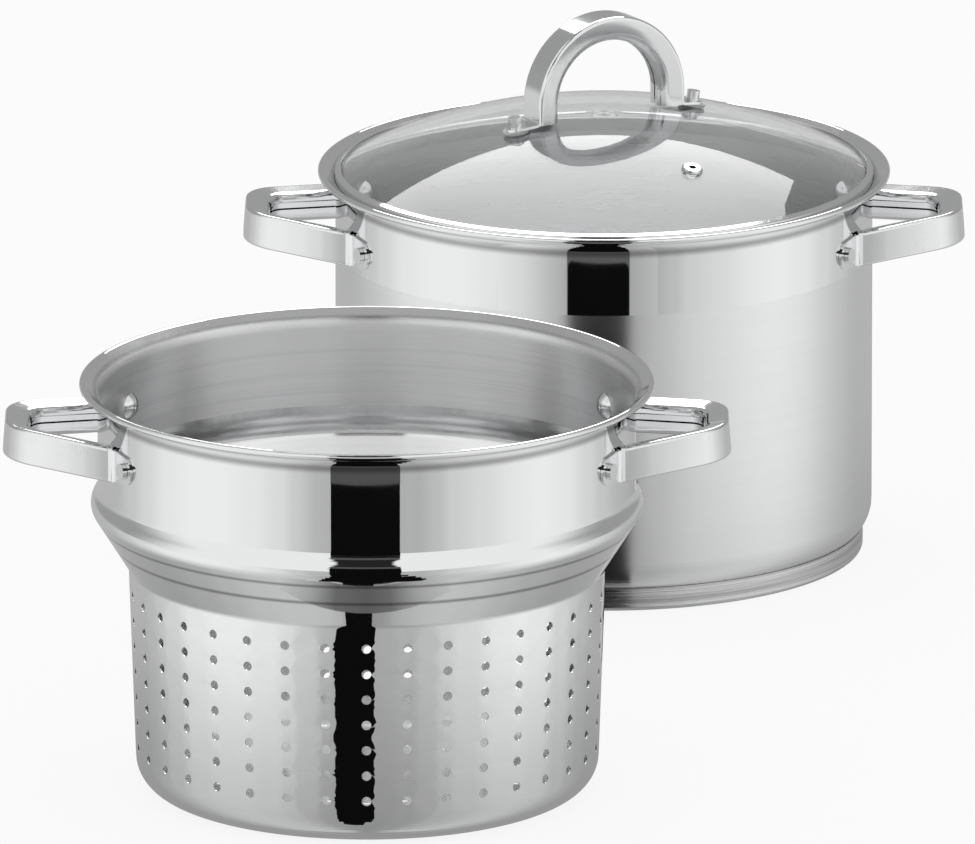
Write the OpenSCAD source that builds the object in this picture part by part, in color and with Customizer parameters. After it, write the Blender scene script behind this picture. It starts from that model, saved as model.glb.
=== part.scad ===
// Pasta pot: a steel stock pot with a clamped base, a glass lid and a perforated insert.
// The pot stands on z = 0 with its axis on the origin. The insert stands beside it.

/* [Pot] */
// Inside diameter of the pot
pot_inner_d = 240; // [220:2:280]
// Height from the table to the top of the pot's lip
pot_h = 175; // [140:0.5:220]
// Thickness of the pressed steel sheet
wall_t = 0.6; // [0.5:0.1:1]
// Outer radius of the bottom corner of the pot
pot_corner_r = 17; // [14:0.5:22]
// How far the lip stands out from the outside of the wall
pot_lip_out = 7.9; // [7:0.1:10]

/* [Rolled rim] */
// Radius of the cove between wall and flare
flare_r = 5.5; // [4:0.1:6]
// How far the flare leans out from upright
flare_angle = 55; // [45:1:60]
// Radius of the rolled bead, to the middle of the sheet
bead_r = 1.2; // [1:0.1:1.5]
// How far round the sheet is rolled
bead_turn = 215; // [180:5:230]

/* [Clamped base] */
// Thickness of the aluminium core
core_t = 4.5; // [3:0.5:6]
// Thickness of the steel cap under the core
cap_t = 0.6; // [0.5:0.1:1]
// Height of the band that the cap forms round the base
band_h = 10.5; // [9.5:0.1:12.5]
// Radius of the lower edge of the band
band_edge_r = 1.8; // [1.5:0.1:3]

/* [Perforated insert] */
// Height of the insert
insert_h = 184; // [170:0.5:200]
// How far the perforated wall stands in from the collar, at its neck
sieve_in = 13.5; // [11:0.5:18]
// Draft of the perforated wall, from upright
sieve_draft = 2; // [0:0.25:3]
// Play between the collar and the inside of the pot
collar_play = 2; // [1.5:0.1:4]
// How far the lip stands out from the outside of the collar
insert_lip_out = 8; // [7:0.1:10]
// How far the bulge reaches out past the inside of the pot, where it seats
seat_overlap = 1; // [0.6:0.1:2]
// Depth of the widest point of the bulge below the lip
bulge_drop = 55; // [50:1:62]
// Lean of the shoulder from upright
shoulder_angle = 32; // [26:1:40]
// Outer radius of the bottom corner of the insert
sieve_corner_r = 15; // [10:1:18]
// Where the middle of the insert stands, to the side of the pot
insert_x = -105; // [-160:1:0]
// Where the middle of the insert stands, before the pot
insert_y = -400; // [-460:1:-330]

/* [Perforation] */
// Diameter of each hole
hole_d = 4.2; // [3:0.1:5]
// Number of holes round the wall, an even number
hole_columns = 36; // [24:2:44]
// Number of rows of holes up the wall
hole_rows = 7; // [4:1:8]
// Height of the lowest row
first_row = 21; // [18:0.5:24]
// Distance from the top row to the neck
row_to_neck = 9; // [7:0.5:14]
// Number of rings of holes in the bottom
bottom_rings = 5; // [3:1:5]
// Distance from the outer ring to the bend of the corner
ring_to_corner = 6; // [4:0.5:12]

/* [Handle strap] */
// Height of the strap's outer face
strap_w = 15.6; // [13:0.2:18]
// Depth of the hollow strap, from outer face to seam
strap_depth = 11.5; // [10:0.1:13]
// Thickness of the handle sheet
strap_t = 1.2; // [1:0.1:1.4]
// Slope of the two side faces
strap_draft = 9; // [4:1:12]
// Radius of the rolled inner edges, to the middle of the sheet
curl_r = 4; // [3:0.1:4.2]
// Radius of the outer edges, to the middle of the sheet
edge_r = 0.9; // [0.7:0.1:1.2]
// Width of the seam between the rolled edges
seam_gap = 0.8; // [0.4:0.1:1.2]

/* [Side handles] */
// How far the handle reaches out from the wall
handle_reach = 41; // [38:0.2:50]
// Half of the straight stretch at the tip
tip_half = 8; // [4:0.5:14]
// Radius of the two outer corners
tip_r = 22; // [18:0.5:26]
// Angle of each arm from the handle's middle line
arm_angle = 27; // [20:1:32]
// Depth of the middle of the strap below the lip
handle_drop = 26.7; // [25:0.1:30]
// How much the loop rises towards its tip
handle_rise = 4.5; // [0:0.5:6]
// Radius of the bend from arm to flange
foot_bend_r = 5; // [3:0.5:7]
// Distance from that bend to the rivet
foot_to_rivet = 7.2; // [6.5:0.1:9]
// Radius of the rounded end of the flange
flange_end_r = 6.3; // [5.5:0.1:7]

/* [Rivets] */
// Diameter of the rivet's shank
shank_d = 5; // [4:0.1:5.5]
// Diameter of the domed head inside
dome_d = 12; // [10:0.1:12.4]
// Height of the domed head
dome_h = 3; // [2:0.1:3.5]
// Diameter of the flat head outside
post_d = 7.2; // [6.4:0.1:8]
// Height of the flat head
post_h = 2; // [1:0.1:3]

/* [Lid] */
// How far the lid's rim reaches out past the inside of the pot
lid_reach = 1; // [0.4:0.1:1.5]
// Thickness of the sheet of the lid's rim
lid_rim_t = 0.6; // [0.5:0.1:0.7]
// Rolled lower corner of the rim, outer radius
lid_rim_corner = 1.3; // [1.2:0.1:1.6]
// Depth of the skirt below the rim
skirt_h = 6; // [4:0.5:9]
// Play between the skirt and the inside of the insert's collar
skirt_play = 0.7; // [0.4:0.1:1.5]
// Thickness of the glass
glass_t = 4; // [3.5:0.1:4.2]
// Rise of the glass dome
dome_rise = 27; // [20:0.5:32]
// Direction of the lid's handle, from the line of the side handles
lid_turn = 31; // [0:1:90]
// Distance of the vent from the middle
vent_at = 76; // [60:1:90]
// Diameter of the vent's flange
vent_d = 9.6; // [8:0.1:12]
// Diameter of the hole in the vent
vent_bore = 3.4; // [2:0.1:4.4]

/* [Lid handle] */
// Outer radius of the arch
arch_r = 38; // [34:0.5:42]
// Height of the arch's centre above the top of the glass
arch_lift = 6.5; // [3:0.5:10]
// Distance of each pin from the middle
pin_at = 46; // [45:0.5:50]
// Radius of the bend from leg to foot, to the middle of the sheet
leg_bend_r = 1.8; // [1.4:0.1:2.2]
// Diameter of the pin above the foot
pin_d = 5.8; // [5:0.1:7]
// Height of the pin above the foot
pin_h = 4.6; // [3:0.1:6]
// Diameter of the pin through the glass
pin_core_d = 4; // [3:0.1:4.5]
// Radius of the rounded end of the foot
foot_end_r = 4.6; // [4.2:0.1:5.2]
// Thickness of each gasket
gasket_t = 1; // [0.8:0.1:1.5]
// Diameter of each gasket
gasket_d = 12; // [10:0.5:13]
// Thickness of each washer
washer_t = 1; // [0.6:0.1:1.4]

/* [Hidden] */
$fn = 72;

steel = "#c9ccd0";
satin = "#b4b7bb";
glass = "#dfe8ea80";
rubber = "#2a2a2c";

// Running clearances
seat = 0.05;
hole_play = 0.2;
flange_gap = 0.1;
arm_gap = 0.8;
foot_lap = 2;
corner_lap = 0.3;
hair = 0.01;

// Pot
pot_r = pot_inner_d / 2 + wall_t;
pot_lip_r = pot_r + pot_lip_out;
pot_floor = cap_t + core_t;
pot_wall_top = pot_h - rim_rise(pot_r, pot_lip_r);

// The cap's band closes on the corner of the pot where the band ends
corner_rise = band_h - pot_floor;
corner_in = pot_corner_r - sqrt(pow(pot_corner_r, 2) - pow(pot_corner_r - corner_rise, 2));
cap_r = pot_r - corner_in + seat + cap_t;

// Insert
collar_r = pot_inner_d / 2 - collar_play;
sieve_r = collar_r - sieve_in;
insert_lip_r = collar_r + insert_lip_out;
bulge_r = pot_inner_d / 2 + seat_overlap;
insert_wall_top = insert_h - rim_rise(collar_r, insert_lip_r);
neck_r = 4;
bulge_edge_r = 7;
bulge_cove_r = 9;
// The sheet swings back by this angle above the bulge, so that it ends at the collar
bulge_back = acos(1 - (bulge_r - collar_r) / (bulge_edge_r + bulge_cove_r));
shoulder_len = (bulge_r - sieve_r - neck_r * (cos(sieve_draft) - cos(shoulder_angle))
    - bulge_edge_r * (1 - cos(shoulder_angle))) / sin(shoulder_angle);
shoulder_rise = neck_r * (sin(shoulder_angle) - sin(sieve_draft))
    + bulge_edge_r * sin(shoulder_angle) + shoulder_len * cos(shoulder_angle);
neck_z = insert_h - bulge_drop - shoulder_rise;
// The drafted wall runs from the corner's end up to the neck
sieve_corner_mid = sieve_corner_r - wall_t / 2;
sieve_rise = neck_z - wall_t / 2 - sieve_corner_mid * (1 - sin(sieve_draft));
sieve_len = sieve_rise / cos(sieve_draft);
sieve_floor_r = sieve_r - wall_t / 2 - sieve_rise * tan(sieve_draft)
    - sieve_corner_mid * cos(sieve_draft);
collar_z = insert_h - bulge_drop + (bulge_edge_r + bulge_cove_r) * sin(bulge_back);
row_pitch = (neck_z - row_to_neck - first_row) / (hole_rows - 1);
ring_pitch = (sieve_floor_r - ring_to_corner) / bottom_rings;

// Lid: its lower corner rests on the cove of the pot's flare
lid_r = pot_inner_d / 2 + lid_reach;
corner_mid_r = lid_rim_corner - lid_rim_t / 2;
seat_across = pot_r - wall_t / 2 + flare_r - (lid_r - lid_rim_corner);
seat_reach = flare_r + wall_t / 2 + lid_rim_corner + seat;
lid_z = pot_wall_top + sqrt(pow(seat_reach, 2) - pow(seat_across, 2)) - lid_rim_corner;
skirt_r = collar_r - wall_t - skirt_play;

// Glass: a shell between two spheres about one centre
glass_edge_r = lid_r - 2.7;
dome_mid_r = (pow(glass_edge_r, 2) + pow(dome_rise, 2)) / (2 * dome_rise);
dome_angle = asin(glass_edge_r / dome_mid_r);
dome_out_r = dome_mid_r + glass_t / 2;
dome_in_r = dome_mid_r - glass_t / 2;
dome_z = lid_z + lid_rim_t + seat - dome_in_r * cos(dome_angle);
glass_top = dome_z + dome_out_r;
pin_tilt = asin(pin_at / dome_out_r);
vent_tilt = asin(vent_at / dome_out_r);
arch_z = glass_top + arch_lift;

// Height of a rolled rim over the straight wall below it
function rim_rise(wall, lip) = flare_r * sin(flare_angle) + flare_len(wall, lip) * cos(flare_angle)
    + bead_r * (1 - sin(flare_angle)) + wall_t / 2;

// Length of the straight flare between cove and bead
function flare_len(wall, lip) = (lip - wall - bead_r * (1 + cos(flare_angle))
    - flare_r * (1 - cos(flare_angle))) / sin(flare_angle);

// Path of a pressed sheet's middle, as [point, heading] pairs. Each step is [length, 0] for a
// straight or [radius, turn] for a bend, turn > 0 to the left.
function turned(a) = [cos(a), sin(a)];
function bend_parts(r, turn) = ceil(abs(turn) / (r > 50 ? 1.5 : r > 3 ? 6 : 12));
function path(steps, at, to, i = 0) = i == len(steps) ? [[at, to]] :
    let (size = steps[i][0], turn = steps[i][1])
    turn == 0
        ? concat([[at, to]], path(steps, at + size * turned(to), to, i + 1))
        : let (arm = sign(turn) * size, centre = at + arm * turned(to + 90),
            n = bend_parts(size, turn))
            concat([for (k = [0:n - 1]) let (way = to + turn * k / n)
                [centre - arm * turned(way + 90), way]],
                path(steps, centre - arm * turned(to + 90 + turn), to + turn, i + 1));

// Section of a sheet of thickness t along such a path
module sheet(t, steps, at = [0, 0], to = 0) {
    line = path(steps, at, to);
    last = len(line) - 1;
    polygon(concat(
        [for (p = line) p[0] + t / 2 * turned(p[1] + 90)],
        [for (i = [0:last]) line[last - i][0] - t / 2 * turned(line[last - i][1] + 90)]));
}

// Steps of the rolled rim above a straight wall
function rim_steps(wall, lip) = [[flare_r, -flare_angle], [flare_len(wall, lip), 0],
    [bead_r, -bead_turn]];

// A hole through a wall, along the direction az
module side_hole(az, z, d, from, to) {
    rotate([0, 0, az]) translate([from, 0, z]) rotate([0, 90, 0])
        cylinder(d = d, h = to - from, $fn = 24);
}

module pot_body() color(steel) difference() {
    rotate_extrude() sheet(wall_t, concat([
        [pot_r - pot_corner_r, 0],
        [pot_corner_r - wall_t / 2, 90],
        [pot_wall_top - pot_floor - pot_corner_r, 0]],
        rim_steps(pot_r, pot_lip_r)), [0, pot_floor + wall_t / 2]);
    for (side = [0, 180], s = [-1, 1])
        side_hole(side + s * rivet_azimuth(pot_r), pot_h - handle_drop, shank_d + hole_play,
            pot_r - 5, pot_r + 5);
}

// Solid disc, its lower edge eased to clear the bend of the cap
module pot_base_core() color(satin) {
    r = cap_r - cap_t - seat;
    ease = band_edge_r - cap_t;
    rotate_extrude() polygon([[0, cap_t], [r - ease, cap_t], [r, cap_t + ease], [r, pot_floor],
        [0, pot_floor]]);
}

// Shallow steel pan under the core, with its edge turned up
module pot_base_cap() color(satin)
    rotate_extrude() sheet(cap_t, [
        [cap_r - band_edge_r, 0],
        [band_edge_r - cap_t / 2, 90],
        [band_h - band_edge_r, 0]], [0, cap_t / 2]);

// Section of the strap: outer face on the Y axis, seam on the far side
module strap_section(thick = strap_t) {
    t = strap_t;
    end_y = strap_w / 2 - t / 2 - edge_r;
    side_len = (strap_depth - t - edge_r - curl_r + (curl_r - edge_r) * sin(strap_draft))
        / cos(strap_draft);
    curl_y = end_y - (curl_r - edge_r) * cos(strap_draft) - side_len * sin(strap_draft);
    curl = [[curl_y - seam_gap / 2, 0], [curl_r, strap_draft - 90], [side_len, 0]];
    edge = [edge_r, -90 - strap_draft];
    sheet(thick, concat(curl, [edge, [2 * end_y, 0], edge], [curl[2], curl[1], curl[0]]),
        [t / 2 - strap_depth, seam_gap / 2], 90);
}

// Plan of one foot of a side handle on a wall of outer radius wall.
// The arm leaves the corner at arm_start and meets the bend after arm_len.
corner_turn = 90 - arm_angle;
function arm_start(wall) = [wall + handle_reach - tip_r, tip_half] + tip_r * turned(corner_turn);
function bend_track(wall) = wall + flange_gap + strap_t + foot_bend_r;
function bend_from(wall) = arm_start(wall) + foot_bend_r * turned(corner_turn);
function arm_len(wall) = let (q = bend_from(wall), along = q * turned(180 - arm_angle))
    -along - sqrt(along * along - q * q + pow(bend_track(wall), 2));
function bend_centre(wall) = bend_from(wall) + arm_len(wall) * turned(180 - arm_angle);
function bend_azimuth(wall) = let (c = bend_centre(wall)) atan2(c[1], c[0]);
function rivet_azimuth(wall) = bend_azimuth(wall) + foot_to_rivet / wall * 180 / PI;

// Loop of the handle, from arm to arm. Each arm laps its corner and is thicker by a hair, so
// that their faces don't meet edge to edge.
module handle_loop(wall) {
    length = arm_len(wall) + foot_lap;
    translate([wall + handle_reach, tip_half, 0]) rotate([90, 0, 0])
        linear_extrude(2 * tip_half) strap_section();
    for (s = [0, 1]) mirror([0, s, 0]) translate([wall + handle_reach - tip_r, tip_half, 0]) {
        rotate_extrude(angle = corner_turn) translate([tip_r, 0]) strap_section();
        rotate([0, 0, corner_turn]) translate([tip_r, length, 0]) rotate([90, 0, 0])
            linear_extrude(length + corner_lap) strap_section(strap_t + 2 * hair);
    }
}

// Outline of a flange: full width at its root, rounded at the rivet
module tongue(root, width, reach, r) {
    half = width / 2;
    far = norm([reach, half]);
    way = asin(r / far) - atan2(half, reach);
    touch = [0, half] + sqrt(far * far - r * r) * turned(way);
    translate([reach, 0]) circle(r);
    polygon([[-root, half], [0, half], touch, [reach, 0], [touch[0], -touch[1]], [0, -half],
        [-root, -half]]);
}

// Foot of one arm: the outer face of the strap runs on into a bend and a flange bowed to the
// wall. It laps the end of the arm.
module handle_foot(wall) {
    az = bend_azimuth(wall);
    mid = wall + flange_gap + strap_t / 2;
    heading = 180 - arm_angle;
    start = arm_start(wall) + (arm_len(wall) - foot_lap) * turned(heading)
        - strap_t / 2 * turned(corner_turn);
    flange = (foot_to_rivet + flange_end_r + 1) / mid * 180 / PI;
    difference() {
        intersection() {
            translate([0, 0, -strap_w]) linear_extrude(2 * strap_w) sheet(strap_t, [
                [foot_lap, 0],
                [foot_bend_r + strap_t / 2, az + 90 - heading],
                [mid, flange]], start, heading);
            rotate([0, 0, rivet_azimuth(wall)]) translate([wall - 20, 0, 0]) rotate([90, 0, 90])
                linear_extrude(40) translate([-foot_to_rivet, 0])
                tongue(3 * foot_bend_r, strap_w - 2 * edge_r, foot_to_rivet, flange_end_r);
        }
        side_hole(rivet_azimuth(wall), 0, shank_d + hole_play, wall - 5, wall + 5);
    }
}

// One side handle, about the middle of its strap. The loop rises towards its tip and is cut
// off square where each foot begins to bend.
module side_handle(wall) {
    ends = arm_start(wall) + arm_len(wall) * turned(180 - arm_angle);
    block = 4 * strap_w;
    difference() {
        translate([ends[0], 0, 0]) rotate([0, -handle_rise, 0]) translate([-ends[0], 0, 0])
            handle_loop(wall);
        translate([0, 0, -strap_w]) cylinder(r = wall + arm_gap, h = 2 * strap_w);
        for (s = [0, 1]) mirror([0, s, 0]) translate(concat(ends, 0)) rotate([0, 0, corner_turn])
            translate([-block / 2, 0, -block / 2]) cube(block);
    }
    for (s = [0, 1]) mirror([0, s, 0]) handle_foot(wall);
}

// Rivet along its axis, z = 0 at the inside of a wall of outer radius wall
module rivet(wall) {
    inner = wall - wall_t;
    sag = inner - sqrt(inner * inner - dome_d * dome_d / 4);
    ball = (dome_d * dome_d / 4 + dome_h * dome_h) / (2 * dome_h);
    top = wall_t + flange_gap + strap_t + seat;
    translate([0, 0, -sag - seat]) {
        intersection() {
            translate([0, 0, ball - dome_h]) sphere(ball);
            translate([0, 0, -dome_h]) cylinder(d = dome_d, h = dome_h);
        }
        cylinder(d = shank_d, h = top + sag + seat + post_h / 2);
    }
    translate([0, 0, top]) cylinder(d = post_d, h = post_h);
}

module side_rivets(wall) for (s = [-1, 1]) rotate([0, 0, s * rivet_azimuth(wall)])
    translate([wall - wall_t, 0, 0]) rotate([0, 90, 0]) rivet(wall);

module on_pot() translate([0, 0, pot_h - handle_drop]) children();
module on_insert() translate([insert_x, insert_y, insert_h - handle_drop]) children();

module pot_handle_left() color(steel) on_pot() rotate([0, 0, 180]) side_handle(pot_r);
module pot_handle_right() color(steel) on_pot() side_handle(pot_r);
module pot_rivets_left() color(steel) on_pot() rotate([0, 0, 180]) side_rivets(pot_r);
module pot_rivets_right() color(steel) on_pot() side_rivets(pot_r);

// Pressed sieve: perforated wall, shoulder, bulge that seats on the pot, collar and rim
module insert_body() color(steel) translate([insert_x, insert_y, 0]) difference() {
    rotate_extrude() sheet(wall_t, concat([
        [sieve_floor_r, 0],
        [sieve_corner_mid, 90 - sieve_draft],
        [sieve_len, 0],
        [neck_r, sieve_draft - shoulder_angle],
        [shoulder_len, 0],
        [bulge_edge_r, shoulder_angle + bulge_back],
        [bulge_cove_r, -bulge_back],
        [insert_wall_top - collar_z, 0]],
        rim_steps(collar_r, insert_lip_r)), [0, wall_t / 2]);
    for (row = [0:hole_rows - 1], column = [0:hole_columns - 1])
        side_hole(column * 360 / hole_columns, first_row + row * row_pitch, hole_d,
            sieve_r - 8, sieve_r + 2);
    translate([0, 0, -1]) cylinder(d = hole_d, h = 3, $fn = 24);
    for (ring = [1:bottom_rings], i = [0:6 * ring - 1])
        rotate([0, 0, 60 * i / ring]) translate([ring * ring_pitch, 0, -1])
            cylinder(d = hole_d, h = 3, $fn = 24);
    for (side = [0, 180], s = [-1, 1])
        side_hole(side + s * rivet_azimuth(collar_r), insert_h - handle_drop, shank_d + hole_play,
            collar_r - 5, collar_r + 5);
}

module insert_handle_left() color(steel) on_insert() rotate([0, 0, 180]) side_handle(collar_r);
module insert_handle_right() color(steel) on_insert() side_handle(collar_r);
module insert_rivets_left() color(steel) on_insert() rotate([0, 0, 180]) side_rivets(collar_r);
module insert_rivets_right() color(steel) on_insert() side_rivets(collar_r);

// Places its children on the glass, z along the normal with z = 0 on its outer face
module on_glass(az, tilt) translate([0, 0, dome_z]) rotate([0, 0, az]) rotate([0, tilt, 0])
    translate([0, 0, dome_out_r]) children();
module at_pins() for (side = [0, 180]) on_glass(lid_turn + side, pin_tilt) children();

module lid_glass() color(glass) difference() {
    translate([0, 0, dome_z]) rotate_extrude() intersection() {
        difference() {
            circle(dome_out_r, $fn = 4 * $fn);
            circle(dome_in_r, $fn = 4 * $fn);
        }
        polygon([[0, 0], 2 * dome_mid_r * turned(90 - dome_angle), [0, 2 * dome_mid_r]]);
    }
    at_pins() translate([0, 0, -glass_t - 2])
        cylinder(d = pin_core_d + 4 * hole_play, h = glass_t + 4);
    on_glass(lid_turn - 90, vent_tilt) translate([0, 0, -glass_t - 2])
        cylinder(d = vent_bore + 2 + hole_play, h = glass_t + 4);
}

// Steel rim rolled round the edge of the glass, with a skirt that enters the pot
module lid_rim() {
    t = lid_rim_t;
    lift = t / 2 + 3 * seat;
    over = [0, dome_z - lid_z] + (dome_out_r + lift) * turned(90 - dome_angle);
    turn = 90 - dome_angle;
    start_r = lid_r - t / 2 - corner_mid_r * (1 - sin(dome_angle));
    start_z = over[1] - (start_r - over[0]) * tan(dome_angle);
    lip = 2;
    wall_len = start_z - corner_mid_r * cos(dome_angle) - lid_rim_corner;
    color(steel) translate([0, 0, lid_z]) rotate_extrude() sheet(t, [
            [lip, 0],
            [corner_mid_r, -turn],
            [wall_len, 0],
            [corner_mid_r, -90],
            [lid_r - lid_rim_corner - skirt_r + t / 2 - corner_mid_r, 0],
            [corner_mid_r, 90],
            [skirt_h, 0]],
            [start_r, start_z] - lip * turned(-dome_angle), -dome_angle);
}

// Arch of hollow strap whose outer face runs out into a foot at each end
module lid_handle() {
    t = strap_t;
    pin_r = dome_out_r + gasket_t + seat + t / 2;
    pin = [pin_r * sin(pin_tilt), dome_z + pin_r * cos(pin_tilt)];
    leg_r = arch_r - t / 2;
    bend = 90 - pin_tilt;
    tangent = leg_bend_r * tan(bend / 2);
    inward = (pin[0] - leg_r) / cos(pin_tilt) - tangent;
    outward = foot_end_r + 2;
    bend_top = pin[1] + (pin[0] - leg_r) * tan(pin_tilt) + tangent;
    leg_z = dome_z + sqrt(dome_out_r * dome_out_r - pow(arch_r - strap_depth, 2)) + gasket_t / 2;
    color(steel) rotate([0, 0, lid_turn]) difference() {
        union() {
            translate([0, 0, arch_z]) rotate([90, 0, 0]) rotate_extrude(angle = 180)
                translate([arch_r, 0]) strap_section();
            for (s = [0, 1]) mirror([s, 0, 0]) {
                translate([arch_r, 0, leg_z]) linear_extrude(arch_z - leg_z) strap_section();
                intersection() {
                    rotate([90, 0, 0]) translate([0, 0, -strap_w / 2]) linear_extrude(strap_w)
                        sheet(t, [
                            [outward + inward, 0],
                            [leg_bend_r, -bend],
                            [arch_z - bend_top, 0]],
                            pin + outward * turned(-pin_tilt), 180 - pin_tilt);
                    translate([arch_r, 0, 0]) linear_extrude(3 * arch_z)
                        tongue(strap_depth, strap_w - 2, pin_at - arch_r, foot_end_r);
                }
            }
        }
        for (side = [0, 180]) rotate([0, 0, side]) translate([0, 0, dome_z])
            rotate([0, pin_tilt, 0]) translate([0, 0, dome_out_r])
            cylinder(d = pin_core_d + hole_play, h = 3 * gasket_t + t);
    }
}

// Pins: a post above the foot, a core through the glass and a flat head below
module lid_pins() color(steel) at_pins() {
    top = gasket_t + strap_t + 2 * seat;
    below = glass_t + gasket_t + washer_t + 4 * seat;
    head_h = 0.4 * pin_core_d;
    translate([0, 0, top]) cylinder(d = pin_d, h = pin_h);
    translate([0, 0, -below]) cylinder(d = pin_core_d, h = top + below + pin_h / 2);
    translate([0, 0, -below - head_h])
        cylinder(d1 = 2 * pin_core_d - head_h, d2 = 2 * pin_core_d, h = head_h);
}

module gasket(d, t) difference() {
    cylinder(d = d, h = t);
    translate([0, 0, -1]) cylinder(d = pin_core_d + hole_play, h = t + 2);
}

module lid_gaskets_upper() color(rubber) at_pins() gasket(gasket_d, gasket_t);
module lid_gaskets_lower() color(rubber) at_pins()
    translate([0, 0, -glass_t - 2 * seat - gasket_t]) gasket(gasket_d, gasket_t);
module lid_washers() color(steel) at_pins()
    translate([0, 0, -glass_t - gasket_t - 3 * seat - washer_t]) gasket(gasket_d - 1, washer_t);

// Eyelet in the steam hole, flanged above and below the glass
module lid_vent() color(steel) on_glass(lid_turn - 90, vent_tilt) difference() {
    union() {
        translate([0, 0, seat]) cylinder(d = vent_d, h = 0.8);
        translate([0, 0, 0.8 + seat]) cylinder(d1 = vent_d, d2 = vent_d - 2, h = 0.7);
        translate([0, 0, -glass_t - 0.5]) cylinder(d = vent_bore + 2, h = glass_t + 1);
        translate([0, 0, -glass_t - 1 - 2 * seat]) cylinder(d = vent_d - 1, h = 1);
    }
    translate([0, 0, -glass_t - 3]) cylinder(d = vent_bore, h = glass_t + 6);
}

pot_body();
pot_base_core();
pot_base_cap();
pot_handle_left();
pot_handle_right();
pot_rivets_left();
pot_rivets_right();
insert_body();
insert_handle_left();
insert_handle_right();
insert_rivets_left();
insert_rivets_right();
lid_glass();
lid_rim();
lid_handle();
lid_pins();
lid_gaskets_upper();
lid_gaskets_lower();
lid_washers();
lid_vent();
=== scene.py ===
# %% [markdown]
# # A steel pasta pot in Blender
# The set is a tall stock pot with a glass lid, and a perforated insert that stands before it.
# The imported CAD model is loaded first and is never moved. It gives every size and place that
# this lesson uses, so whatever is added here lands where the real piece is.

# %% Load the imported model
import math

import bpy
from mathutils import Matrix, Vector


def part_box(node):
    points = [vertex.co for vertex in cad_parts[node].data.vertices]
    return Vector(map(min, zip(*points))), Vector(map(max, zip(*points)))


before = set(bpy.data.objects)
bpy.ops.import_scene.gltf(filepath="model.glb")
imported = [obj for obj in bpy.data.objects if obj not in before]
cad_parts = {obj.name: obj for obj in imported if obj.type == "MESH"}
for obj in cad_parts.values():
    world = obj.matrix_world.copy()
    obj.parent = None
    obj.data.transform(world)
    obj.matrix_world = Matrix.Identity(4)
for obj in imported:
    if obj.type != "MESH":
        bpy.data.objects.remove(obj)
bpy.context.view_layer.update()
MM = 0.001
print(len(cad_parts), "nodes:", ", ".join(sorted(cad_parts)))

# %% [markdown]
# ## Sizes
# Pot and insert are turned round upright axes, so an axis, a few radii and a few heights say
# all that the finishes need. They are read from the boxes of the nodes and not typed in. Only
# what a box can't show, such as the spacing of the holes, is written here as a real size.

# %% Axes and heights of the two vessels


def middle(node):
    low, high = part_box(node)
    return (low + high) / 2


def on_floor(point):
    return Vector((point.x, point.y, 0))


pot_axis = on_floor(middle("pot_body"))
insert_axis = on_floor(middle("insert_body"))
pot_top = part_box("pot_body")[1].z
insert_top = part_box("insert_body")[1].z
pot_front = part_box("pot_body")[0].y
insert_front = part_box("insert_body")[0].y

HOLE_COLUMNS = 36
HOLE_ROWS = 7
HOLE_FIRST_ROW = 21 * MM
HOLE_ROW_PITCH = 11.6 * MM
HOLE_RADIUS = 2.1 * MM
MIRROR_BAND = 37 * MM
COLLAR_HEIGHT = 43 * MM
FLANGE_LENGTH = 11 * MM
print("pot", round(pot_top / MM, 1), "mm high, insert", round(insert_top / MM, 1), "mm high")

# %% [markdown]
# ## Camera
# The photograph is made of two shots set side by side at one scale. No near camera sees both
# vessels at one scale, but a far one with a very long lens does. It looks down by fifteen
# degrees, which gives the rims the flat ovals that the photograph shows.

# %% Camera
CAMERA_FAR = 15.0
CAMERA_PITCH = math.radians(15.19)
CAMERA_LENS = 1248.0
CAMERA_AIM = Vector((-52.3 * MM, -200 * MM, 110.5 * MM))


def make_camera():
    camera = bpy.data.objects.new("camera", bpy.data.cameras.new("camera"))
    bpy.context.scene.collection.objects.link(camera)
    ahead = Vector((0, math.cos(CAMERA_PITCH), -math.sin(CAMERA_PITCH)))
    camera.location = CAMERA_AIM - ahead * CAMERA_FAR
    camera.rotation_euler = ahead.to_track_quat("-Z", "Y").to_euler()
    camera.data.lens = CAMERA_LENS
    camera.data.clip_end = 4 * CAMERA_FAR
    bpy.context.scene.camera = camera
    return camera


print("camera at", [round(v, 2) for v in make_camera().location])

# %% [markdown]
# ## Building node trees
# A finish is a graph of nodes. Typing the place and the links of each one by hand hides the
# idea, so a small wrapper adds a node, sets or links its sockets by name, and hands back one
# output: `tree.add(type, output, socket=value)`. Blender's own names stay visible in it.

# %% A small wrapper for node trees


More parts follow.
